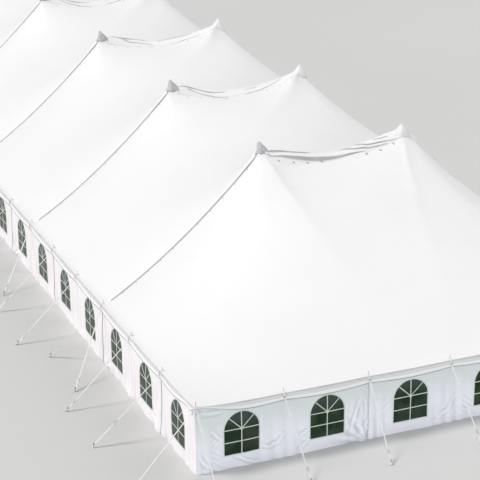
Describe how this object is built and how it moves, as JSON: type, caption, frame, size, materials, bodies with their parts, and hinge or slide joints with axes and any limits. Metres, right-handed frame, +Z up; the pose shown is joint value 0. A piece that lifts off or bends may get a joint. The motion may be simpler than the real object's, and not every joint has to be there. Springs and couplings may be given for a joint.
{
  "type": "pole marquee tent, 1:2 scale model",
  "caption": "Long white pole marquee with rows of capped peaks, hung walls with arched clear windows, side poles, and guy straps run out to ground stakes.",
  "frame": {"origin": "middle of the tent's plan, on the ground", "axes": "+Z up, +Y along the tent from the front end wall to the back end wall, +X to the right as seen from the front"},
  "size_m": [11.5596, 29.3, 3.8383],
  "materials": {
    "roof_vinyl": "satin coated cloth",
    "wall_vinyl": "satin coated cloth",
    "cap_vinyl": "matte coated cloth",
    "clear_film": "clear soft film",
    "aluminium": "plain tube",
    "guy_webbing": "woven webbing"
  },
  "bodies": {
    "root": {"centre_pole_1_left": "aluminium", "centre_pole_1_right": "aluminium", "centre_pole_2_left": "aluminium", "centre_pole_2_right": "aluminium", "centre_pole_3_left": "aluminium", "centre_pole_3_right": "aluminium", "centre_pole_4_left": "aluminium", "centre_pole_4_right": "aluminium", "centre_pole_5_left": "aluminium", "centre_pole_5_right": "aluminium", "guys_back": "guy_webbing", "guys_front": "guy_webbing", "guys_left": "guy_webbing", "guys_right": "guy_webbing", "peak_cap_1_left": "cap_vinyl", "peak_cap_1_right": "cap_vinyl", "peak_cap_2_left": "cap_vinyl", "peak_cap_2_right": "cap_vinyl", "peak_cap_3_left": "cap_vinyl", "peak_cap_3_right": "cap_vinyl", "peak_cap_4_left": "cap_vinyl", "peak_cap_4_right": "cap_vinyl", "peak_cap_5_left": "cap_vinyl", "peak_cap_5_right": "cap_vinyl", "roof_back_end": "roof_vinyl", "roof_front_end": "roof_vinyl", "roof_middle_1": "roof_vinyl", "roof_middle_2": "roof_vinyl", "roof_middle_3": "roof_vinyl", "roof_middle_4": "roof_vinyl", "side_poles_back": "aluminium", "side_poles_front": "aluminium", "side_poles_left": "aluminium", "side_poles_right": "aluminium", "wall_back_left": "wall_vinyl", "wall_back_middle": "wall_vinyl", "wall_back_right": "wall_vinyl", "wall_front_left": "wall_vinyl", "wall_front_middle": "wall_vinyl", "wall_front_right": "wall_vinyl", "wall_left_1": "wall_vinyl", "wall_left_2": "wall_vinyl", "wall_left_3": "wall_vinyl", "wall_left_4": "wall_vinyl", "wall_left_5": "wall_vinyl", "wall_left_6": "wall_vinyl", "wall_right_1": "wall_vinyl", "wall_right_2": "wall_vinyl", "wall_right_3": "wall_vinyl", "wall_right_4": "wall_vinyl", "wall_right_5": "wall_vinyl", "wall_right_6": "wall_vinyl", "window_film_back": "clear_film", "window_film_front": "clear_film", "window_film_left": "clear_film", "window_film_right": "clear_film"}
  },
  "joints": []
}
